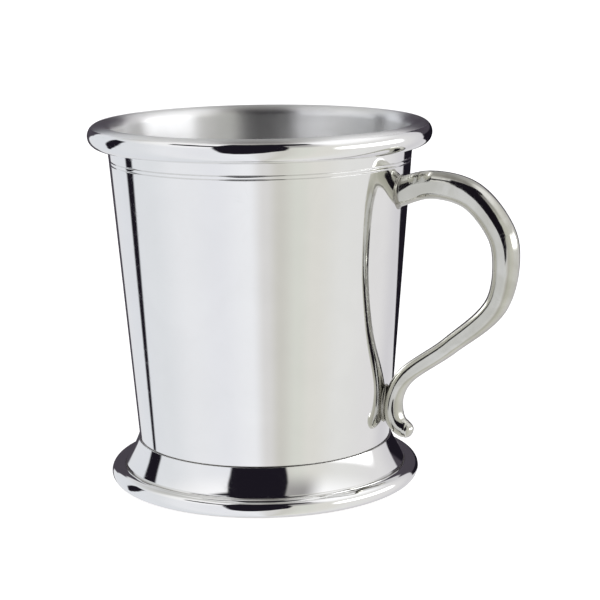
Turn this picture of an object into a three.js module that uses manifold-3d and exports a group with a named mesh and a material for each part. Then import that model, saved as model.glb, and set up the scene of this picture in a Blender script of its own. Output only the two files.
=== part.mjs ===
// Pewter tankard: a turned conical cup with a beaded rim, a turned foot ring and a cast scroll
// handle, held together by three soldered joints.
// Millimetres, +Z up. The cup stands on z = 0 and the handle points along +X.

import * as THREE from "three";
import { mergeVertices } from "three/addons/utils/BufferGeometryUtils.js";
import Module from "manifold-3d";

// ---------- driving dimensions ----------

const GAP = 0.3; // clear space left between two pieces that touch
const ROUND_STEPS = 64; // facets once round the cup, a multiple of four so that the axes are hit

const RIM_RADIUS = 38.1; // outside of the rim: three inches across
const HEIGHT = 80.8; // crest of the rim above the table
const RIM_BEAD_RADIUS = 2.55; // section of the round bead along the rim
const WALL = 1.0; // thickness of the cup's wall

const SEAM_Z = 9.55; // where the cup sits on its foot
const WALL_FOOT_RADIUS = 28.45; // outside of the wall at the seam
const WALL_TOP_RADIUS = 33.75; // outside of the wall under the rim
const WALL_TOP_Z = 75.7;
const FLOOR_THICKNESS = 1.3;
const FLOOR_OUTER_CORNER = 0.8;
const FLOOR_INNER_CORNER = 2.6;

const LINE_HEIGHTS = [72.2, 73.0]; // the two turned lines below the rim
const LINE_DEPTH = 0.16;
const LINE_HALF_WIDTH = 0.16;

const COLLAR_RADIUS = 28.8; // top of the foot, just proud of the wall
const COLLAR_INNER_RADIUS = 27.6;
const SKIRT_RADIUS = 31.65; // bottom of the foot's flare
const SKIRT_Z = 4.1;
const SKIRT_HOLLOW = 0.2; // how far the flare curves in from a straight line
const SKIRT_THICKNESS = 1.3;
const FOOT_RADIUS = 34.95; // outside of the foot's bead
const FOOT_BEAD_RADIUS = 1.95;
const FOOT_FLAT = 0.06; // how much is ground off the bead to make the face it stands on
const BEAD_OUTER_END = 132; // degrees round the bead at which the narrow step down to it lands
const BEAD_INNER_END = -160; // degrees round the bead at which the inside of the foot leaves it
const FOOT_SOLDER_LEG = 1.1; // reach of the solder fillet inside the foot

// The handle's centre line, as distance from the cup's axis and height, with the rod's radius there.
const SCROLL = [
  { out: 31.8, up: 66.0, rod: 3.1 }, // root, inside the wall
  { out: 39.7, up: 68.2, rod: 3.05 }, // top of the arch
  { out: 48.7, up: 66.4, rod: 3.13 },
  { out: 54.7, up: 60.1, rod: 3.13 },
  { out: 56.6, up: 54.8, rod: 3.04 }, // widest reach
  { out: 54.8, up: 43.2, rod: 2.55 },
  { out: 44.3, up: 33.2, rod: 2.07 },
  { out: 34.0, up: 25.4, rod: 2.0 },
  { out: 31.7, up: 21.4, rod: 2.05 },
  { out: 31.15, up: 17.4, rod: 2.3 }, // lies against the wall
  { out: 32.2, up: 14.7, rod: 2.15 },
  { out: 33.9, up: 13.5, rod: 2.0 },
  { out: 35.85, up: 13.15, rod: 1.9 }, // free tip of the tail
];
const ROD_SIDES = 18;
const ROD_STEPS = 56;

// Solder round the root of the arch: its outer radius on the wall, the thickness of its edge there,
// how much further it climbs the rod, and how deep in the wall its blank begins.
const TOP_SOLDER = { up: 66.6, radius: 4.7, lip: 0.55, rise: 0.9, depth: 2.0 };
const TOP_SOLDER_SIDES = 24;

// Pad of solder at the lower bend, half an ellipsoid that stands out from the wall by its depth.
const BOTTOM_SOLDER = { up: 19.0, halfHeight: 5.0, halfWidth: 2.9, depth: 1.45 };
const BOTTOM_SOLDER_SIDES = 24;

// ---------- small helpers ----------

const wasm = await Module();
wasm.setup();

const radians = THREE.MathUtils.degToRad;
const degrees = THREE.MathUtils.radToDeg;

function point(radius, height) {
  return new THREE.Vector2(radius, height);
}

// Points round a circle's arc, both ends included, angles in degrees from outwards towards up.
function arc(centre, radius, from, to, steps) {
  return Array.from({ length: steps + 1 }, (_, i) => {
    const angle = radians(from + ((to - from) * i) / steps);
    return point(centre.x + radius * Math.cos(angle), centre.y + radius * Math.sin(angle));
  });
}

// A profile turned round the cup's axis, which is +Z.
function turned(profile) {
  return new THREE.LatheGeometry(profile, ROUND_STEPS).rotateX(Math.PI / 2);
}

function solidFrom(geometry) {
  const bare = geometry.clone();
  bare.deleteAttribute("normal");
  bare.deleteAttribute("uv");
  const merged = mergeVertices(bare, 1e-4);
  return new wasm.Manifold(
    new wasm.Mesh({
      numProp: 3,
      vertProperties: merged.attributes.position.array,
      triVerts: new Uint32Array(merged.index.array),
    }),
  );
}

function geometryFrom(solid) {
  const { vertProperties, triVerts } = solid.getMesh();
  const geometry = new THREE.BufferGeometry();
  geometry.setAttribute("position", new THREE.BufferAttribute(vertProperties, 3));
  geometry.setIndex(new THREE.BufferAttribute(triVerts, 1));
  const faceted = geometry.toNonIndexed();
  faceted.computeVertexNormals();
  return faceted;
}

function pewter(name, geometry, color, roughness) {
  const material = new THREE.MeshStandardMaterial({ color, roughness, metalness: 1 });
  const mesh = new THREE.Mesh(geometry, material);
  mesh.name = name;
  return mesh;
}

// ---------- cup ----------

const WALL_SLOPE = (WALL_TOP_RADIUS - WALL_FOOT_RADIUS) / (WALL_TOP_Z - SEAM_Z);
const WALL_LEAN = degrees(Math.atan(WALL_SLOPE));

function wallRadius(height) {
  return WALL_FOOT_RADIUS + WALL_SLOPE * (height - SEAM_Z);
}

// A V-shaped line turned into the outside of the wall.
function turnedLine(height) {
  return [
    point(wallRadius(height - LINE_HALF_WIDTH), height - LINE_HALF_WIDTH),
    point(wallRadius(height) - LINE_DEPTH, height),
    point(wallRadius(height + LINE_HALF_WIDTH), height + LINE_HALF_WIDTH),
  ];
}

// The wall leans out to a round bead, which stands outside it: the inside of the cup runs straight
// up and over the bead, and the outside meets the bead's underside in a sharp corner.
function cupBody() {
  const underside = SEAM_Z + GAP / 2;
  const floor = underside + FLOOR_THICKNESS;
  const outerCorner = point(
    wallRadius(underside + FLOOR_OUTER_CORNER) - FLOOR_OUTER_CORNER,
    underside + FLOOR_OUTER_CORNER,
  );
  const innerCornerZ = floor + FLOOR_INNER_CORNER;
  const innerCorner = point(wallRadius(innerCornerZ) - WALL - FLOOR_INNER_CORNER, innerCornerZ);
  const bead = point(RIM_RADIUS - RIM_BEAD_RADIUS, HEIGHT - RIM_BEAD_RADIUS);
  const inside = 180 - WALL_LEAN;
  const under = inside - 360 + degrees(Math.acos(1 - WALL / RIM_BEAD_RADIUS));
  return turned([
    point(0, underside),
    ...arc(outerCorner, FLOOR_OUTER_CORNER, -90, 0, 4),
    ...LINE_HEIGHTS.flatMap(turnedLine),
    ...arc(bead, RIM_BEAD_RADIUS, under, 0, 6),
    ...arc(bead, RIM_BEAD_RADIUS, 0, 90, 4).slice(1),
    ...arc(bead, RIM_BEAD_RADIUS, 90, inside, 4).slice(1),
    ...arc(innerCorner, FLOOR_INNER_CORNER, 0, -90, 5),
    point(0, floor),
  ]);
}

// ---------- foot ----------

// A cast ring, turned to a hollow flare above a narrow step and a round bead.
function footRing() {
  const top = SEAM_Z - GAP / 2;
  const collarEdge = point(COLLAR_RADIUS, top);
  const skirtEdge = point(SKIRT_RADIUS, SKIRT_Z);
  const inward = point(skirtEdge.y - collarEdge.y, collarEdge.x - skirtEdge.x).normalize();
  const middle = collarEdge.clone().lerp(skirtEdge, 0.5).addScaledVector(inward, 2 * SKIRT_HOLLOW);
  const flare = new THREE.QuadraticBezierCurve(collarEdge, middle, skirtEdge);
  const bead = point(FOOT_RADIUS - FOOT_BEAD_RADIUS, FOOT_BEAD_RADIUS - FOOT_FLAT);
  const flatEdge = degrees(Math.asin(bead.y / FOOT_BEAD_RADIUS));
  const profile = [
    ...flare.getPoints(5),
    ...arc(bead, FOOT_BEAD_RADIUS, BEAD_OUTER_END, 0, 6),
    ...arc(bead, FOOT_BEAD_RADIUS, 0, -flatEdge, 5).slice(1),
    ...arc(bead, FOOT_BEAD_RADIUS, flatEdge - 180, BEAD_INNER_END, 3),
    point(SKIRT_RADIUS - SKIRT_THICKNESS, SKIRT_Z),
    point(COLLAR_INNER_RADIUS, top - SKIRT_THICKNESS / 2),
    point(COLLAR_INNER_RADIUS, top),
    collarEdge,
  ];
  return turned(profile.reverse());
}

// The fillet of solder in the corner under the floor, inside the foot's collar.
function footSolder() {
  const top = SEAM_Z - GAP / 2;
  const outer = COLLAR_INNER_RADIUS - GAP;
  const leg = FOOT_SOLDER_LEG;
  const profile = [
    ...arc(point(outer - leg, top - leg), leg, 0, 90, 4),
    point(outer, top),
    point(outer, top - leg),
  ];
  return turned(profile.reverse());
}

// ---------- handle ----------

const centreLine = new THREE.CatmullRomCurve3(
  SCROLL.map(({ out, up }) => new THREE.Vector3(out, 0, up)),
  false,
  "centripetal",
);
const rodSizes = new THREE.SplineCurve(SCROLL.map(({ rod }, i) => point(i, rod)));
const scrollLength = centreLine.getLength();

// A straight rod of unit radius is extruded, then each ring of it is set square to the centre line
// and scaled to the rod's radius there. The rings crowd towards the tail, which ends in a half ball.
function scrollRod(extra) {
  const circle = new THREE.Shape().absarc(0, 0, 1, 0, 2 * Math.PI);
  const rod = new THREE.ExtrudeGeometry(circle, {
    depth: 1,
    steps: ROD_STEPS,
    curveSegments: ROD_SIDES / 2,
    bevelEnabled: false,
  });
  const vertices = rod.attributes.position;
  for (let i = 0; i < vertices.count; i++) {
    const share = Math.sin((vertices.getZ(i) * Math.PI) / 2);
    const t = centreLine.getUtoTmapping(share);
    const centre = centreLine.getPoint(t);
    const along = centreLine.getTangent(t);
    const size = rodSizes.getPoint(t).y + extra;
    const toTip = Math.min((1 - share) * scrollLength, size);
    const radius = Math.sqrt(size ** 2 - (size - toTip) ** 2);
    const inward = radius * vertices.getX(i);
    const sideways = radius * vertices.getY(i);
    vertices.setXYZ(i, centre.x + along.z * inward, sideways, centre.z - along.x * inward);
  }
  return rod;
}

// Everything inside the cup's outer cone, with clear space added.
function wallCutter(clear) {
  const margin = 10;
  const low = -margin;
  const high = HEIGHT + margin;
  const profile = [
    point(0, low),
    point(wallRadius(low) + clear, low),
    point(wallRadius(high) + clear, high),
    point(0, high),
  ];
  return solidFrom(turned(profile));
}

function handle() {
  return geometryFrom(solidFrom(scrollRod(0)).subtract(wallCutter(GAP)));
}

// What solder fills between the rod and the wall, clear of both.
function solderAround(geometry) {
  const rod = solidFrom(scrollRod(GAP));
  return geometryFrom(solidFrom(geometry).subtract(rod).subtract(wallCutter(GAP)));
}

// A fillet that spreads on to the wall all round the root of the arch.
function topSolder() {
  const { up, radius, lip, rise, depth } = TOP_SOLDER;
  const hollow = point(radius, lip + rise);
  const profile = [
    point(0, -depth),
    point(radius, -depth),
    ...arc(hollow, rise, -90, -180, 4),
    point(0, lip + rise),
  ];
  const collar = new THREE.LatheGeometry(profile, TOP_SOLDER_SIDES).rotateZ(-Math.PI / 2);
  collar.rotateY(radians(WALL_LEAN));
  collar.translate(wallRadius(up), 0, up);
  return solderAround(collar);
}

// A low pad round the place where the lower bend lies against the wall.
function bottomSolder() {
  const { up, halfHeight, halfWidth, depth } = BOTTOM_SOLDER;
  const ball = new THREE.SphereGeometry(1, BOTTOM_SOLDER_SIDES, BOTTOM_SOLDER_SIDES / 2);
  const pad = ball.scale(depth, halfWidth, halfHeight);
  pad.rotateY(radians(WALL_LEAN));
  pad.translate(wallRadius(up), 0, up);
  return solderAround(pad);
}

// ---------- assembly ----------

const tankard = new THREE.Group();
tankard.add(
  pewter("cup_body", cupBody(), 0xd2d3d4, 0.12),
  pewter("foot_ring", footRing(), 0xd2d3d4, 0.1),
  pewter("foot_solder", footSolder(), 0xa9aaab, 0.35),
  pewter("handle", handle(), 0xc9cac4, 0.12),
  pewter("handle_top_solder", topSolder(), 0xa9aaa6, 0.3),
  pewter("handle_bottom_solder", bottomSolder(), 0xa9aaa6, 0.3),
);

// The origin is the middle of the space the tankard takes up on the table.
const extent = new THREE.Box3().setFromObject(tankard);
tankard.position.x = -(extent.min.x + extent.max.x) / 2;

const part = new THREE.Group();
part.add(tankard);

export default part;
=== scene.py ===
"""Pewter tankard: fine surfaces, metal finishes and a white studio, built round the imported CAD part.

Lengths below are millimetres in the part's frame and become metres when a mesh is made.
Heights are above the table, radii and "out" are measured from the cup's own axis.
"""
import math

import bpy
import numpy as np
from mathutils import Matrix, Vector


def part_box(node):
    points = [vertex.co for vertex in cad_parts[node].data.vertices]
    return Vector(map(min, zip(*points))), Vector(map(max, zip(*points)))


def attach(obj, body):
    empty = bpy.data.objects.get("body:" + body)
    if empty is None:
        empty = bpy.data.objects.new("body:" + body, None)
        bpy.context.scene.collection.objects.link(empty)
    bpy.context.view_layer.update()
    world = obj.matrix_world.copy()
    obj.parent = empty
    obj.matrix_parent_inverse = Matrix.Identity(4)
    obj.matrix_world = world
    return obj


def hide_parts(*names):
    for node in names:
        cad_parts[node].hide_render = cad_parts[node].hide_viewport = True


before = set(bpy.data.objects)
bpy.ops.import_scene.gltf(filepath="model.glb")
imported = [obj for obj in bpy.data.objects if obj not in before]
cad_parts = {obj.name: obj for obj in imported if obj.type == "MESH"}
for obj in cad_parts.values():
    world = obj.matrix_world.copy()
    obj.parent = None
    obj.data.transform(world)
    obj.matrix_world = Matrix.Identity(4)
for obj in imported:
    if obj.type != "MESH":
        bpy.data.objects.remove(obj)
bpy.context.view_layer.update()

MM = 0.001

# ---------- the part's own sizes ----------

cup_low, cup_high = (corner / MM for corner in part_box("cup_body"))
foot_low, foot_high = (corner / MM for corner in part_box("foot_ring"))
AXIS_X = (cup_low.x + cup_high.x) / 2  # where the cup's axis stands
CREST = cup_high.z
RIM_RADIUS = (cup_high.y - cup_low.y) / 2
FOOT_RADIUS = (foot_high.y - foot_low.y) / 2
SEAM_Z = (cup_low.z + foot_high.z) / 2  # where the cup sits on its foot
UNDERSIDE = SEAM_Z + 0.03  # the fine surfaces all but close the clear space of the CAD part
FOOT_TOP = SEAM_Z - 0.02

RIM_BEAD = 2.55  # section radius of the bead along the rim
WALL = 1.0
SATIN_EDGE = 48  # degrees round the bead, from outwards towards up, where the polish ends
WALL_FOOT_RADIUS = 28.45
WALL_TOP_RADIUS = 33.75
WALL_TOP_Z = 75.7
FLOOR_THICKNESS = 1.3
FLOOR_OUTER_CORNER = 0.3  # corner radii where the wall turns into the floor
FLOOR_INNER_CORNER = 2.6
LINE_HEIGHTS = [72.2, 73.0]  # the two fine turned lines under the rim
LINE_DEPTH = 0.16
LINE_HALF_WIDTH = 0.16
LINE_LIP = 0.35  # softened lip, as a share of the half width
# Section of a turned line from its lower lip to its upper one: shares of half width and of depth.
LINE_SECTION = [(-1, 0), (-0.75, 0.06), (-0.35, 0.6), (0, 1), (0.35, 0.6), (0.75, 0.06), (1, 0)]

COLLAR_RADIUS = 28.8
COLLAR_INNER_RADIUS = 27.6
SKIRT_RADIUS = 31.65
SKIRT_Z = 4.1
SKIRT_HOLLOW = 0.2
SKIRT_THICKNESS = 1.3
FOOT_BEAD = 1.95  # section radius of the bead the cup stands on
FOOT_FLAT = 0.06  # how much of it is ground flat underneath
BEAD_OUTER_END = 132  # degrees round it where the skirt's step meets it outside
BEAD_INNER_END = -160  # and inside

# Handle's centre line (out, up) and the rod's radius there.
SCROLL = [
    (31.8, 66.0, 3.1),
    (39.7, 68.2, 3.05),
    (48.7, 66.4, 3.13),
    (54.7, 60.1, 3.13),
    (56.6, 54.8, 3.04),
    (54.8, 43.2, 2.55),
    (44.3, 33.2, 2.07),
    (34.0, 25.4, 2.0),
    (31.7, 21.4, 2.05),
    (31.15, 17.4, 2.3),
    (32.2, 14.7, 2.15),
    (33.9, 13.5, 2.0),
    (35.85, 13.15, 1.9),
]
SPAN_STEPS = 60  # points of the dense curve between two of these
ROOT_REACH = 14.0  # the arch has left the wall by this length
ROOT_DEPTH = 0.25  # how far the arch's end goes into the wall
UPPER_DEPTH = 0.3  # deepest the rod may lie in the wall near its root
LOWER_DEPTH = 0.1  # and where its lower bend touches
UPPER_SHARE = 0.3  # share of the rod that counts as near its root

TOP_SPREAD = 0.7  # how far the upper solder runs out on the wall
TOP_RISE = 1.0  # how far it climbs the rod
TOP_EDGE_SUNK = 0.02  # how far its edges lie under the rod's skin
TOP_FOOT_SUNK = 0.03  # and under the wall's
BOTTOM_UP = 19.0  # middle of the lower solder
BOTTOM_HALF_HEIGHT = 4.4
BOTTOM_HALF_WIDTH = 1.9
BOTTOM_DEPTH = 1.2
PAD_SUNK = 0.05  # how far the lower solder's edge goes into the wall
PAD_BACK = 0.3  # and its back

TURNS = 288  # facets once round a turned piece
ROD_SIDES = 56  # facets round the handle's rod
ROD_RINGS = 230  # rings along it
TIP_RINGS = 14  # rings over its rounded end

WALL_SLOPE = (WALL_TOP_RADIUS - WALL_FOOT_RADIUS) / (WALL_TOP_Z - SEAM_Z)
WALL_LEAN = math.degrees(math.atan(WALL_SLOPE))


def wall_radius(height):
    return WALL_FOOT_RADIUS + WALL_SLOPE * (height - SEAM_Z)


# ---------- mesh helpers ----------

def angles_round(sides):
    return [2 * math.pi * i / sides for i in range(sides)]


def arc(centre, radius, start, end, steps):
    """Points round a circle, both ends included, degrees from outwards towards up."""
    angles = [math.radians(start + (end - start) * i / steps) for i in range(steps + 1)]
    return [(centre[0] + radius * math.cos(a), centre[1] + radius * math.sin(a)) for a in angles]


def line(start, end, steps):
    """Points along a straight line, without its last point.

    The first and last stretches are very short, so that smooth shading doesn't bend the rest.
    """
    short = 0.04
    first = min(short / math.dist(start, end), 0.2)
    shares = [0] + [first + (1 - 2 * first) * i / steps for i in range(steps + 1)]
    return [tuple(a + (b - a) * share for a, b in zip(start, end)) for share in shares]


def bezier(start, middle, end, steps):
    points = []
    for i in range(steps + 1):
        t = i / steps
        weights = ((1 - t) ** 2, 2 * t * (1 - t), t**2)
        points.append(
            tuple(sum(w * p[k] for w, p in zip(weights, (start, middle, end))) for k in (0, 1))
        )
    return points


def make_piece(name, vertices, faces, replaced, sharp_angle=35):
    """A closed mesh, in millimetres from the cup's axis, as an object that rides on the part."""
    mesh = bpy.data.meshes.new(name)
    mesh.from_pydata([Vector(v) * MM for v in vertices], [], faces)
    mesh.validate()
    mesh.polygons.foreach_set("use_smooth", [True] * len(mesh.polygons))
    mesh.set_sharp_from_angle(angle=math.radians(sharp_angle))
    mesh.update()
    piece = bpy.data.objects.new(name, mesh)
    piece.location = (AXIS_X * MM, 0, 0)
    bpy.context.scene.collection.objects.link(piece)
    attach(piece, "root")
    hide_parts(replaced)
    return piece


def turned(profile):
    """Vertices and faces of a closed profile turned round the axis; points on the axis are poles."""
    vertices = []
    rings = []
    for radius, height in profile:
        first = len(vertices)
        if radius < 1e-6:
            vertices.append((0, 0, height))
            rings.append([first] * TURNS)
            continue
        for angle in angles_round(TURNS):
            vertices.append((radius * math.cos(angle), radius * math.sin(angle), height))
        rings.append(list(range(first, first + TURNS)))
    faces = []
    for here, there in zip(rings, rings[1:] + rings[:1]):
        for i in range(TURNS):
            j = (i + 1) % TURNS
            corners = [here[i], here[j], there[j], there[i]]
            face = [c for k, c in enumerate(corners) if c != corners[k - 1]]
            if len(face) > 2:
                faces.append(face)
    return vertices, faces


def ring_faces(rings, count, looped):
    """Faces between neighbouring rings of count points; looped ones run back to the first ring."""
    faces = []
    for here in range(rings if looped else rings - 1):
        there = (here + 1) % rings
        for i in range(count):
            j = (i + 1) % count
            corners = ((here, i), (here, j), (there, j), (there, i))
            faces.append([ring * count + k for ring, k in corners])
    return faces


def tube(rings):
    """Vertices and faces of a tube through equal rings of points; its ends are closed by a fan."""
    vertices = [p for ring in rings for p in ring]
    count = len(rings[0])
    faces = ring_faces(len(rings), count, looped=False)
    for r, order in ((0, -1), (len(rings) - 1, 1)):
        middle = len(vertices)
        vertices.append(tuple(np.mean(rings[r], axis=0)))
        for i in range(count):
            j = (i + 1) % count
            a, b = (r * count + i, r * count + j)[::order]
            faces.append([a, b, middle])
    return vertices, faces


# ---------- cup ----------

def turned_line(height):
    """A fine V with softened lips, cut into the outside of the wall."""
    reach = LINE_HALF_WIDTH * (1 + LINE_LIP)
    points = []
    for offset, depth in LINE_SECTION:
        up = height + offset * reach
        points.append((wall_radius(up) - LINE_DEPTH * depth, up))
    return points


def cup_profile():
    """Outside and inside halves of the cup's section; they meet where the polish ends."""
    floor = UNDERSIDE + FLOOR_THICKNESS
    bead = (RIM_RADIUS - RIM_BEAD, CREST - RIM_BEAD)
    corner_z = UNDERSIDE + FLOOR_OUTER_CORNER
    outer_corner = (wall_radius(corner_z) - FLOOR_OUTER_CORNER, corner_z)
    inner_z = floor + FLOOR_INNER_CORNER
    inner_corner = (wall_radius(inner_z) - WALL - FLOOR_INNER_CORNER, inner_z)
    bead_end = 180 - WALL_LEAN  # the inside of the wall runs tangent into the bead
    under = bead_end - 360 + math.degrees(math.acos(1 - WALL / RIM_BEAD))
    groove = [p for height in LINE_HEIGHTS for p in turned_line(height)]
    foot_corner = arc(outer_corner, FLOOR_OUTER_CORNER, -90, -WALL_LEAN, 10)
    outer_bead = arc(bead, RIM_BEAD, under, SATIN_EDGE, 66)
    inner_bead = arc(bead, RIM_BEAD, SATIN_EDGE, bead_end, 36)
    hollow = arc(inner_corner, FLOOR_INNER_CORNER, -WALL_LEAN, -90, 20)
    outside = line((0, UNDERSIDE), foot_corner[0], 6) + foot_corner[:-1]
    outside += line(foot_corner[-1], groove[0], 30) + groove[:-1]
    outside += line(groove[-1], outer_bead[0], 3) + outer_bead[:-1]
    inside = inner_bead[:-1] + line(inner_bead[-1], hollow[0], 30) + hollow[:-1]
    inside += line(hollow[-1], (0, floor), 12) + [(0, floor)]
    return outside, inside


def make_cup():
    outside, inside = cup_profile()
    vertices, faces = turned(outside + inside)
    cup = make_piece("cup", vertices, faces, "cup_body")
    cup.data.materials.append(polished_pewter())
    cup.data.materials.append(satin_pewter())
    inside_from = len(outside) * TURNS - TURNS + 1  # the pole at the start is a single vertex
    satin = [min(face.vertices) >= inside_from for face in cup.data.polygons]
    cup.data.polygons.foreach_set("material_index", [int(x) for x in satin])
    return cup


# ---------- foot ----------

def foot_profile():
    """Seen and hidden halves of the foot's section: flare and bead, then its hollow inside."""
    bead = (FOOT_RADIUS - FOOT_BEAD, FOOT_BEAD - FOOT_FLAT)
    flat_edge = math.degrees(math.asin(bead[1] / FOOT_BEAD))
    top = (COLLAR_RADIUS, FOOT_TOP)
    bottom = (SKIRT_RADIUS, SKIRT_Z)
    hollow = 2 * SKIRT_HOLLOW / math.dist(top, bottom)
    flare_middle = (
        (top[0] + bottom[0]) / 2 + (bottom[1] - top[1]) * hollow,
        (top[1] + bottom[1]) / 2 + (top[0] - bottom[0]) * hollow,
    )
    flare = bezier(top, flare_middle, bottom, 40)
    under_step = (SKIRT_RADIUS - SKIRT_THICKNESS, SKIRT_Z)
    under_collar = (COLLAR_INNER_RADIUS, FOOT_TOP - SKIRT_THICKNESS / 2)
    outside = flare + arc(bead, FOOT_BEAD, BEAD_OUTER_END, -flat_edge, 60)
    inside = arc(bead, FOOT_BEAD, flat_edge - 180, BEAD_INNER_END, 8)
    inside += line(under_step, under_collar, 12) + [under_collar, (COLLAR_INNER_RADIUS, FOOT_TOP)]
    return outside, inside


def make_foot():
    outside, inside = foot_profile()
    vertices, faces = turned(outside + inside)
    foot = make_piece("foot", vertices, faces, "foot_ring", 30)
    foot.data.materials.append(polished_pewter())
    foot.data.materials.append(satin_pewter())
    hidden_from = len(outside) * TURNS
    hidden = [max(face.vertices) >= hidden_from for face in foot.data.polygons]
    foot.data.polygons.foreach_set("material_index", [int(x) for x in hidden])
    return foot


def make_foot_fillet():
    """Solder in the corner under the cup's floor, inside the collar."""
    low, high = (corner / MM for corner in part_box("foot_solder"))
    outer = (high.y - low.y) / 2
    leg = high.z - low.z
    hollow = arc((outer - leg, high.z - leg), leg, 90, 0, 12)
    vertices, faces = turned([(outer, high.z)] + hollow)
    piece = make_piece("foot_fillet", vertices, faces, "foot_solder")
    piece.data.materials.append(solder())
    return piece


# ---------- handle ----------

def scroll_curve():
    """Dense points (out, up, rod radius) along the handle: a centripetal Catmull-Rom curve."""
    knots = np.array(SCROLL)
    padded = np.vstack([2 * knots[0] - knots[1], knots, 2 * knots[-1] - knots[-2]])
    dense = []
    for a, b, c, d in zip(padded, padded[1:], padded[2:], padded[3:]):
        gaps = [math.hypot(*(q - p)[:2]) ** 0.5 for p, q in ((a, b), (b, c), (c, d))]
        leave = (b - a) / gaps[0] - (c - a) / (gaps[0] + gaps[1]) + (c - b) / gaps[1]
        arrive = (c - b) / gaps[1] - (d - b) / (gaps[1] + gaps[2]) + (d - c) / gaps[2]
        leave = leave * gaps[1]
        arrive = arrive * gaps[1]
        for t in np.linspace(0, 1, SPAN_STEPS, endpoint=False):
            dense.append(
                b + leave * t + (3 * (c - b) - 2 * leave - arrive) * t**2
                + (2 * (b - c) + leave + arrive) * t**3
            )
    dense.append(knots[-1])
    return np.array(dense)


CURVE = scroll_curve()
STEPS_LONG = np.hypot(*np.diff(CURVE[:, :2], axis=0).T)
LENGTHS = np.concatenate([[0], np.cumsum(STEPS_LONG)])
TANGENTS = np.gradient(CURVE[:, :2], LENGTHS, axis=0)


def rod_point(length, angle, radius=None, extra=0.0):
    """A point on the rod's skin: length along the centre line, angle round it, from outwards."""
    out, up, rod = (np.interp(length, LENGTHS, CURVE[:, k]) for k in range(3))
    along = np.array([np.interp(length, LENGTHS, TANGENTS[:, k]) for k in range(2)])
    along = along / np.hypot(*along)
    size = (rod if radius is None else radius) + extra
    in_plane = size * math.cos(angle)
    return (out + along[1] * in_plane, size * math.sin(angle), up - along[0] * in_plane)


def depth_outside_wall(p):
    return math.hypot(p[0], p[1]) - wall_radius(p[2])


def length_at_wall(angle, clear):
    """Where the line along the rod's skin at this angle leaves the wall."""
    low = 0.0
    high = ROOT_REACH
    for _ in range(30):  # halved until exact
        middle = (low + high) / 2
        if depth_outside_wall(rod_point(middle, angle)) < clear:
            low = middle
        else:
            high = middle
    return high


def on_wall(p, clear):
    """The point pushed out from the axis until it is that far outside the wall."""
    radius = math.hypot(p[0], p[1])
    wanted = wall_radius(p[2]) + clear
    if radius >= wanted:
        return p
    return (p[0] * wanted / radius, p[1] * wanted / radius, p[2])


def make_handle():
    """The cast scroll: its root follows the wall, its free end is a half ball."""
    angles = angles_round(ROD_SIDES)
    tip_size = SCROLL[-1][2]
    body_end = LENGTHS[-1] - tip_size
    starts = [length_at_wall(angle, -ROOT_DEPTH) for angle in angles]
    rings = []
    for k in range(ROD_RINGS + 1):
        share = k / ROD_RINGS
        deepest = LOWER_DEPTH if share > UPPER_SHARE else UPPER_DEPTH
        rings.append([
            on_wall(rod_point(start + (body_end - start) * share, angle), -deepest)
            for start, angle in zip(starts, angles)
        ])
    for k in range(1, TIP_RINGS):
        turn = math.pi / 2 * k / TIP_RINGS
        length = body_end + tip_size * math.sin(turn)
        rings.append([rod_point(length, angle, radius=tip_size * math.cos(turn)) for angle in angles])
    vertices, faces = tube(rings)
    piece = make_piece("scroll_handle", vertices, faces, "handle", 50)
    piece.data.materials.append(cast_pewter())
    return piece


def make_top_fillet():
    """A hollow fillet all round the root of the handle's arch."""
    sections = []
    for angle in angles_round(72):
        start = length_at_wall(angle, 0.0)
        corner = np.array(rod_point(start, angle))
        climb = np.array(rod_point(start + TOP_RISE, angle, extra=-TOP_EDGE_SUNK))
        centre = np.array(rod_point(start, 0, radius=0))
        away = corner - centre
        foot = corner + away / np.linalg.norm(away) * TOP_SPREAD
        radius = math.hypot(foot[0], foot[1])
        foot[:2] *= (wall_radius(foot[2]) - TOP_FOOT_SUNK) / radius
        curve = [
            (1 - t) ** 2 * foot + 2 * t * (1 - t) * corner + t**2 * climb
            for t in np.linspace(0, 1, 14)
        ]
        buried = corner - away * 0.12  # the hidden corner, inside both rod and wall
        buried[:2] *= 1 - ROOT_DEPTH / math.hypot(corner[0], corner[1])
        sections.append([tuple(p) for p in curve] + [tuple(buried)])
    vertices = [p for section in sections for p in section]
    faces = ring_faces(len(sections), len(sections[0]), looped=True)
    piece = make_piece("handle_top_fillet", vertices, faces, "handle_top_solder", 60)
    piece.data.materials.append(solder())
    return piece


def make_bottom_fillet():
    """A low pad of solder where the lower bend lies against the wall."""
    lean = math.radians(WALL_LEAN)
    steps = 14
    rings = []
    for k in range(steps):
        swell = math.pi / 2 * (1 - k / steps)
        ring = []
        for turn in angles_round(48):
            out = BOTTOM_DEPTH * math.cos(swell)
            side = BOTTOM_HALF_WIDTH * math.sin(swell) * math.sin(turn)
            up = BOTTOM_HALF_HEIGHT * math.sin(swell) * math.cos(turn)
            height = BOTTOM_UP + up * math.cos(lean) - out * math.sin(lean)
            radius = wall_radius(height) + (out - PAD_SUNK) / math.cos(lean)
            ring.append((radius * math.cos(side / radius), radius * math.sin(side / radius), height))
        rings.append(ring)
    back = []  # the first ring again, sunk into the wall
    for p in rings[0]:
        shrink = 1 - PAD_BACK / math.hypot(p[0], p[1])
        back.append((p[0] * shrink, p[1] * shrink, p[2]))
    vertices, faces = tube([back] + rings)
    piece = make_piece("handle_bottom_fillet", vertices, faces, "handle_bottom_solder", 60)
    piece.data.materials.append(solder())
    return piece


# ---------- finishes ----------

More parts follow.
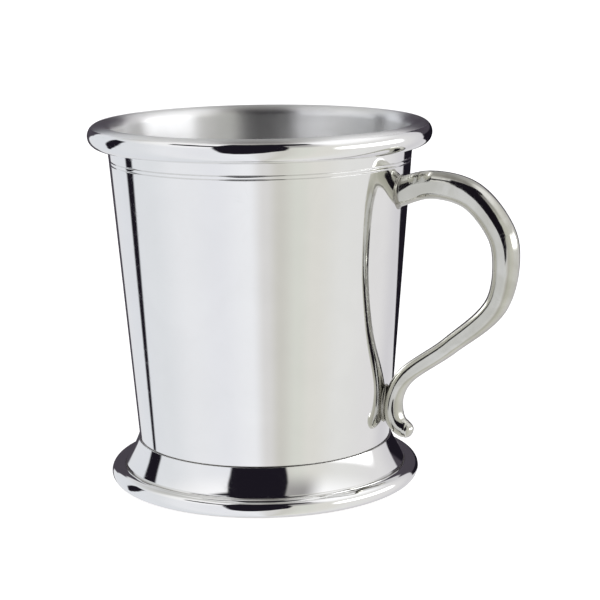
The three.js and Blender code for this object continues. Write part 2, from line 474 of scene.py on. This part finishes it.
class Sums:
    """Small arithmetic in a node tree. Every value is a socket or a plain number."""

    def __init__(self, tree):
        self.nodes = tree.nodes
        self.links = tree.links

    def feed(self, socket, value):
        if isinstance(value, bpy.types.NodeSocket):
            self.links.new(value, socket)
        else:
            socket.default_value = value

    def math(self, operation, *values):
        node = self.nodes.new("ShaderNodeMath")
        node.operation = operation
        for socket, value in zip(node.inputs, values):
            self.feed(socket, value)
        return node.outputs[0]

    def step(self, value, edge, soft):
        """0 below the edge, 1 above it."""
        node = self.nodes.new("ShaderNodeMapRange")
        node.interpolation_type = "SMOOTHSTEP"
        self.feed(node.inputs["Value"], value)
        self.feed(node.inputs["From Min"], self.math("SUBTRACT", edge, soft))
        self.feed(node.inputs["From Max"], self.math("ADD", edge, soft))
        return node.outputs["Result"]

    def curve(self, value, points, low, high):
        """A function of value through the given points; its results lie between low and high."""
        first = points[0][0]
        last = points[-1][0]
        node = self.nodes.new("ShaderNodeFloatCurve")
        curve = node.mapping.curves[0]
        scaled = [((x - first) / (last - first), (y - low) / (high - low)) for x, y in points]
        curve.points[0].location = scaled[0]
        curve.points[1].location = scaled[-1]
        for x, y in scaled[1:-1]:
            curve.points.new(x, y)
        for point in curve.points:
            point.handle_type = "VECTOR"
        node.mapping.update()
        share = self.math("DIVIDE", self.math("SUBTRACT", value, first), last - first)
        self.feed(node.inputs["Value"], share)
        return self.math("ADD", self.math("MULTIPLY", node.outputs[0], high - low), low)

    def ramp(self, value, stops, first, last):
        """A colour from stops (place, colour) along a value that runs from first to last."""
        node = self.nodes.new("ShaderNodeValToRGB")
        node.color_ramp.interpolation = "EASE"
        elements = node.color_ramp.elements
        while len(elements) < len(stops):
            elements.new(0.5)
        for element, (at, color) in zip(elements, stops):
            element.position = (at - first) / (last - first)
            element.color = (*color, 1)
        share = self.math("DIVIDE", self.math("SUBTRACT", value, first), last - first)
        self.feed(node.inputs["Fac"], share)
        return node.outputs["Color"]

    def mix(self, share, a, b):
        node = self.nodes.new("ShaderNodeMix")
        node.data_type = "RGBA"
        sockets = [x for x in node.inputs if x.type == "RGBA"]
        self.feed(node.inputs[0], share)
        for socket, value in zip(sockets, (a, b)):
            self.feed(socket, value)
        return [x for x in node.outputs if x.type == "RGBA"][0]

    def vector(self, operation, *values):
        node = self.nodes.new("ShaderNodeVectorMath")
        node.operation = operation
        for socket, value in zip(node.inputs, values):
            self.feed(socket, value)
        return node.outputs["Value" if operation == "DOT_PRODUCT" else "Vector"]

    def noise(self, place, scale, detail, distortion=0.0):
        node = self.nodes.new("ShaderNodeTexNoise")
        self.feed(node.inputs["Vector"], place)
        for name, value in (("Scale", scale), ("Detail", detail), ("Distortion", distortion)):
            node.inputs[name].default_value = value
        return node.outputs["Fac"]

    def bump(self, height, strength, depth, under=None):
        """A normal disturbed by a height between 0 and 1 that stands for depth in millimetres."""
        node = self.nodes.new("ShaderNodeBump")
        node.inputs["Strength"].default_value = strength
        node.inputs["Distance"].default_value = depth * MM
        self.feed(node.inputs["Height"], height)
        if under is not None:
            self.feed(node.inputs["Normal"], under)
        return node.outputs["Normal"]

    def plus(self, value, more, amount):
        """The value with that amount of a second one added."""
        return self.math("ADD", value, self.math("MULTIPLY", more, amount))

    def spread(self, value, low, high):
        """A value between 0 and 1 moved to lie between low and high."""
        return self.math("ADD", self.math("MULTIPLY", value, high - low), low)


class Metal(Sums):
    """A metal whose colour and roughness come from the patterns added to it."""

    def __init__(self, name):
        self.material = bpy.data.materials.new(name)
        self.material.use_nodes = True
        super().__init__(self.material.node_tree)
        self.shader = self.nodes["Principled BSDF"]
        self.shader.inputs["Metallic"].default_value = 1
        place = self.nodes.new("ShaderNodeTexCoord").outputs["Object"]
        self.place = self.vector("MULTIPLY", place, (1 / MM, 1 / MM, 1 / MM))

    def stretched(self, across, along):
        """Places squeezed so that a pattern runs in long streaks round the axis."""
        return self.vector("MULTIPLY", self.place, (across, across, along))

    def scratches(self, seed, scale, rarity):
        """Thin hair lines in three directions, 1 on a line and 0 off it."""
        lines = None
        for k in range(3):
            turn = seed + 1.1 * k
            across = Vector((math.cos(turn), math.sin(turn * 1.7), math.sin(turn))).normalized()
            side = self.vector("DOT_PRODUCT", self.place, tuple(across))
            node = self.nodes.new("ShaderNodeCombineXYZ")
            self.feed(node.inputs[0], self.math("MULTIPLY", side, scale))
            drift = self.noise(self.place, 0.07 + 0.02 * k, 1.0)
            self.feed(node.inputs[1], self.math("MULTIPLY", drift, 9.0))
            self.feed(node.inputs[2], seed * 3.7 + k)
            mark = self.step(self.noise(node.outputs[0], 1.0, 0.0), rarity, 0.015)
            here = self.step(self.noise(self.place, 0.16 + 0.03 * k, 1.0), 0.56, 0.05)
            mark = self.math("MULTIPLY", mark, here)
            lines = mark if lines is None else self.math("MAXIMUM", lines, mark)
        return lines

    def crevice(self, reach):
        """0 in the open, towards 1 in corners, read from ambient occlusion: a mask for painted shade in
        corners, and for duller metal where a polishing cloth doesn't get.
        """
        node = self.nodes.new("ShaderNodeAmbientOcclusion")
        node.samples = 6
        node.inputs["Distance"].default_value = reach * MM
        return self.math("SUBTRACT", 1.0, node.outputs["AO"])

    def finish(self, color, roughness, normal):
        self.feed(self.shader.inputs["Base Color"], color)
        self.feed(self.shader.inputs["Roughness"], roughness)
        self.feed(self.shader.inputs["Normal"], normal)
        return self.material


def finish_once(build):
    """A finish is made the first time it is asked for and shared afterwards."""
    made = []

    def shared():
        if not made:
            made.append(build())
        return made[0]

    return shared


@finish_once
def polished_pewter():
    """Bright buffed pewter: faint buffing streaks round the axis, clouds and hair scratches."""
    metal = Metal("polished_pewter")
    streaks = metal.noise(metal.stretched(0.05, 6.0), 1.0, 3.0)
    clouds = metal.noise(metal.place, 0.09, 3.0, 0.6)
    hairs = metal.scratches(0.4, 5.0, 0.70)
    # Painted shade: an ambient occlusion mask darkens the colour in corners and creases; the same mask
    # also makes the metal duller there.
    dull_and_shaded = metal.step(metal.crevice(0.5), 0.6, 0.35)
    color = metal.ramp(clouds, [(0.25, (0.85, 0.85, 0.84)), (0.75, (0.875, 0.875, 0.865))], 0, 1)
    color = metal.mix(dull_and_shaded, color, (0.50, 0.48, 0.45, 1))
    roughness = metal.spread(clouds, 0.02, 0.055)
    roughness = metal.plus(roughness, streaks, 0.02)
    roughness = metal.plus(roughness, hairs, 0.05)
    roughness = metal.plus(roughness, dull_and_shaded, 0.22)
    normal = metal.bump(streaks, 0.12, 0.004)
    normal = metal.bump(hairs, 0.08, 0.003, normal)
    return metal.finish(color, roughness, normal)


@finish_once
def satin_pewter():
    """Lathe-brushed pewter: fine lines round the axis smear reflections up and down."""
    metal = Metal("satin_pewter")
    lines = metal.noise(metal.stretched(0.035, 9.0), 1.0, 4.0)
    rings = metal.noise(metal.stretched(0.01, 1.6), 1.0, 2.0)
    broad = metal.noise(metal.stretched(0.02, 0.8), 1.0, 3.0)
    clouds = metal.noise(metal.place, 0.07, 3.0, 0.8)
    # Painted shade: an ambient occlusion mask darkens the colour in the corner inside, where the wall
    # meets the floor.
    dull_and_shaded = metal.step(metal.crevice(1.5), 0.6, 0.35)
    color = metal.ramp(clouds, [(0.3, (0.88, 0.88, 0.87)), (0.7, (0.94, 0.94, 0.935))], 0, 1)
    color = metal.mix(dull_and_shaded, color, (0.55, 0.54, 0.52, 1))
    roughness = metal.spread(broad, 0.30, 0.37)
    roughness = metal.plus(roughness, lines, 0.05)
    normal = metal.bump(lines, 0.3, 0.012, metal.bump(rings, 0.5, 0.02))
    tangent = metal.nodes.new("ShaderNodeTangent")
    tangent.direction_type = "RADIAL"
    tangent.axis = "Z"
    metal.feed(metal.shader.inputs["Tangent"], tangent.outputs[0])
    metal.shader.inputs["Anisotropic"].default_value = 0.95
    metal.shader.inputs["Anisotropic Rotation"].default_value = 0.25
    return metal.finish(color, roughness, normal)


@finish_once
def cast_pewter():
    """Cast rod, filed and buffed by hand: slow waves in the surface and more scratches."""
    metal = Metal("cast_pewter")
    waves = metal.noise(metal.place, 0.16, 2.0, 0.4)
    clouds = metal.noise(metal.place, 0.12, 3.0, 0.8)
    grain = metal.noise(metal.place, 2.2, 3.0)
    hairs = metal.scratches(1.9, 3.5, 0.68)
    # Painted shade: an ambient occlusion mask darkens the colour steeply where the rod meets the wall
    # and the solder; the same mask also makes the metal duller there.
    dull_and_shaded = metal.step(metal.crevice(2.2), 0.42, 0.32)
    color = metal.ramp(clouds, [(0.3, (0.55, 0.545, 0.49)), (0.7, (0.65, 0.645, 0.60))], 0, 1)
    color = metal.mix(dull_and_shaded, color, (0.20, 0.19, 0.16, 1))
    roughness = metal.spread(clouds, 0.06, 0.13)
    roughness = metal.plus(roughness, hairs, 0.12)
    roughness = metal.plus(roughness, dull_and_shaded, 0.25)
    normal = metal.bump(waves, 1.0, 0.10)
    normal = metal.bump(grain, 0.25, 0.010, normal)
    normal = metal.bump(hairs, 0.15, 0.004, normal)
    return metal.finish(color, roughness, normal)


@finish_once
def solder():
    """Solder left a little duller than the pewter, with small pits where it froze."""
    metal = Metal("solder")
    clouds = metal.noise(metal.place, 0.5, 3.0, 0.5)
    pits = metal.step(metal.noise(metal.place, 3.2, 2.0), 0.66, 0.04)
    color = metal.ramp(clouds, [(0.3, (0.30, 0.29, 0.26)), (0.7, (0.42, 0.41, 0.37))], 0, 1)
    color = metal.mix(pits, color, (0.30, 0.29, 0.27, 1))
    roughness = metal.plus(metal.spread(clouds, 0.14, 0.26), pits, 0.2)
    normal = metal.bump(clouds, 0.6, 0.03)
    normal = metal.bump(metal.math("SUBTRACT", 1.0, pits), 0.5, 0.03, normal)
    return metal.finish(color, roughness, normal)


# ---------- studio ----------

VIEW_AZIMUTH = 24.0  # degrees the camera stands round towards the handle from straight ahead
CAMERA_DISTANCE = 404.6  # from the cup's axis, along the table
CAMERA_HEIGHT = 123.9
AIM_RIGHT = 8.404  # the point looked at: how far right of the axis, and how high
AIM_UP = 40.125
CAMERA_ROLL = -0.721
LENS = 109.92  # on a 36 mm sensor

VIEW_TURN = math.radians(VIEW_AZIMUTH)
RIGHT = Vector((math.cos(VIEW_TURN), math.sin(VIEW_TURN), 0))
AWAY = Vector((-math.sin(VIEW_TURN), math.cos(VIEW_TURN), 0))
AXIS = Vector((AXIS_X, 0, 0))


def studio_point(right, away, up):
    """A place given from the cup's axis as the camera sees it, in metres."""
    return (AXIS + RIGHT * right + AWAY * away) * MM + Vector((0, 0, up * MM))


def make_camera():
    camera = bpy.data.objects.new("camera", bpy.data.cameras.new("camera"))
    camera.data.sensor_width = 36
    camera.data.lens = LENS
    camera.data.clip_start = 0.01
    camera.data.clip_end = 20
    camera.location = studio_point(0, -CAMERA_DISTANCE, CAMERA_HEIGHT)
    aim = studio_point(AIM_RIGHT, 0, AIM_UP)
    look = (aim - camera.location).to_track_quat("-Z", "Y")
    roll = Matrix.Rotation(math.radians(CAMERA_ROLL), 4, "Z")
    camera.matrix_world = Matrix.Translation(camera.location) @ look.to_matrix().to_4x4() @ roll
    bpy.context.scene.collection.objects.link(camera)
    bpy.context.scene.camera = camera


def make_floor():
    """A pale sweep: flat under the tankard and rising far away, so that it fills every view."""
    flat = 2.0  # metres, like the rest of the sweep
    bend = 1.5
    profile = [(0.02, 0), (0.15, 0), (0.6, 0), (flat, 0)]
    for turn in np.linspace(0.2, 1.5, 8):
        profile.append((flat + bend * math.sin(turn), bend - bend * math.cos(turn)))
    angles = angles_round(64)
    vertices = [
        (AXIS_X * MM + radius * math.cos(a), radius * math.sin(a), height)
        for radius, height in profile
        for a in angles
    ]
    faces = [face[::-1] for face in ring_faces(len(profile), len(angles), looped=False)]
    faces.append(list(range(len(angles))))
    mesh = bpy.data.meshes.new("floor")
    mesh.from_pydata(vertices, [], faces)
    mesh.polygons.foreach_set("use_smooth", [True] * len(mesh.polygons))
    floor = bpy.data.objects.new("floor", mesh)
    material = bpy.data.materials.new("floor_paper")
    material.use_nodes = True
    shader = material.node_tree.nodes["Principled BSDF"]
    shader.inputs["Base Color"].default_value = (0.9, 0.9, 0.9, 1)
    shader.inputs["Roughness"].default_value = 0.9
    shader.inputs["Specular IOR Level"].default_value = 0.1
    shader.inputs["Emission Color"].default_value = (1, 1, 1, 1)
    shader.inputs["Emission Strength"].default_value = 0.7
    mesh.materials.append(material)
    floor.visible_glossy = False
    floor.visible_diffuse = False
    bpy.context.scene.collection.objects.link(floor)


# The studio is a white tent. Azimuths go round from the camera's side towards the right, and
# elevations up from the horizon, in degrees.
LOW_PANELS = [
    (-180, (0.78, 0.78, 0.80)),
    (-130, (0.80, 0.82, 0.87)),
    (-95, (0.82, 0.84, 0.88)),
    (-62, (0.90, 0.91, 0.95)),
    (-35, (0.88, 0.89, 0.94)),
    (-10, (0.94, 0.95, 0.99)),
    (3, (0.77, 0.76, 0.76)),
    (14, (0.67, 0.66, 0.62)),
    (29, (0.75, 0.76, 0.71)),
    (42, (0.80, 0.79, 0.75)),
    (71, (0.84, 0.84, 0.83)),
    (110, (0.82, 0.81, 0.82)),
    (136, (0.70, 0.69, 0.72)),
    (180, (0.78, 0.78, 0.80)),
]
HIGH_PANELS = [
    (-180, (0.45, 0.45, 0.45)),
    (-130, (0.62, 0.62, 0.61)),
    (-95, (1.0, 1.0, 1.01)),
    (-50, (1.1, 1.1, 1.13)),
    (-20, (0.9, 0.89, 0.88)),
    (8, (0.40, 0.39, 0.38)),
    (36, (0.36, 0.35, 0.35)),
    (60, (1.15, 1.15, 1.17)),
    (106, (1.15, 1.15, 1.17)),
    (138, (0.6, 0.6, 0.6)),
    (180, (0.38, 0.38, 0.38)),
]
ROOF = (0.34, 0.33, 0.32)
LOW_TOP = 36  # elevations where the low panels give way to the high ones, and those to the roof
HIGH_TOP = 72
PANEL_BLEND = 12

# Patches over the panels: a colour, the softness of the edges in degrees, then elevations with the
# azimuths of the left and right sides there. All but the lamp are dark gaps between the panels.
LAMP = (5.4, 5.45, 5.6)
BLACK = (0.012, 0.010, 0.016)
SHADE = (0.070, 0.062, 0.078)
PATCHES = [
    (LAMP, 7, [(1, 54, 104), (13, 54, 104)]),
    (BLACK, 1.5, [  # in front of the table, a V with the camera in it
        (-15, -17, -9),
        (-7, -24.5, 2),
        (3, -27, 9),
        (10, -28, 16),
        (30, -33, 20),
        (38, -36, 21),
        (50, -39, 20),
        (72, -41, 18),
    ]),
    (BLACK, 1.5, [(52, 10, 30), (56, 10, 50), (64, 5, 50), (70, 0, 30)]),  # overhead, right
    (BLACK, 1.5, [(46, -80, -34), (52, -84, -34), (56, -70, -34)]),  # overhead, left
    (BLACK, 1.5, [  # the gap on the left
        (-22, -127, -123),
        (-12, -122, -112),
        (0, -121, -106),
        (10, -120, -105),
        (27, -122, -108),
    ]),
    (SHADE, 1.5, [  # behind the table on the left
        (-20, -200, -158),
        (-5, -200, -155),
        (8, -200, -146),
        (26, -200, -150),
    ]),
    (SHADE, 1.5, [(-1, 136, 200), (5, 136, 200), (18, 137, 200), (30, 138, 200)]),  # and right
    (BLACK, 1.5, [  # low behind the table on the right
        (-17, 168, 200),
        (-15, 152, 200),
        (-12, 141, 200),
        (-9, 138, 200),
        (3, 136, 200),
    ]),
]
AZIMUTH_LIMIT = 210  # no side of a patch lies beyond this


def patch_share(sums, azimuth, elevation, soft, sides):
    """1 inside a patch, 0 outside it and in between over its soft edges."""
    lowest = sides[0][0]
    highest = sides[-1][0]
    held = sums.math("MINIMUM", sums.math("MAXIMUM", elevation, lowest), highest)
    left, right = (
        sums.curve(held, [(side[0], side[k]) for side in sides], -AZIMUTH_LIMIT, AZIMUTH_LIMIT)
        for k in (1, 2)
    )
    share = 1.0
    for more, less in ((azimuth, left), (right, azimuth), (elevation, lowest), (highest, elevation)):
        inside = sums.step(sums.math("SUBTRACT", more, less), 0.0, soft)
        share = sums.math("MULTIPLY", share, inside)
    return share


def make_world():
    """Light by direction alone: a low and a high ring of panels, a roof and the patches."""
    world = bpy.data.worlds.new("studio")
    world.use_nodes = True
    tree = world.node_tree
    sums = Sums(tree)
    direction = tree.nodes.new("ShaderNodeTexCoord").outputs["Generated"]
    right, nearer, up = (
        sums.vector("DOT_PRODUCT", direction, tuple(axis)) for axis in (RIGHT, -AWAY, Vector((0, 0, 1)))
    )
    azimuth = sums.math("DEGREES", sums.math("ARCTAN2", right, nearer))
    elevation = sums.math("DEGREES", sums.math("ARCSINE", up))

    low = sums.ramp(azimuth, LOW_PANELS, -180, 180)
    high = sums.ramp(azimuth, HIGH_PANELS, -180, 180)
    color = sums.mix(sums.step(elevation, LOW_TOP, PANEL_BLEND), low, high)
    color = sums.mix(sums.step(elevation, HIGH_TOP, PANEL_BLEND), color, (*ROOF, 1))
    for patch_color, soft, sides in PATCHES:
        share = patch_share(sums, azimuth, elevation, soft, sides)
        color = sums.mix(share, color, (*patch_color, 1))
    sums.feed(tree.nodes["Background"].inputs["Color"], color)
    tree.nodes["Background"].inputs["Strength"].default_value = 1.0
    bpy.context.scene.world = world
    bpy.context.scene.view_settings.view_transform = "Standard"


make_cup()
make_foot()
make_foot_fillet()
make_handle()
make_top_fillet()
make_bottom_fillet()
make_camera()
make_floor()
make_world()
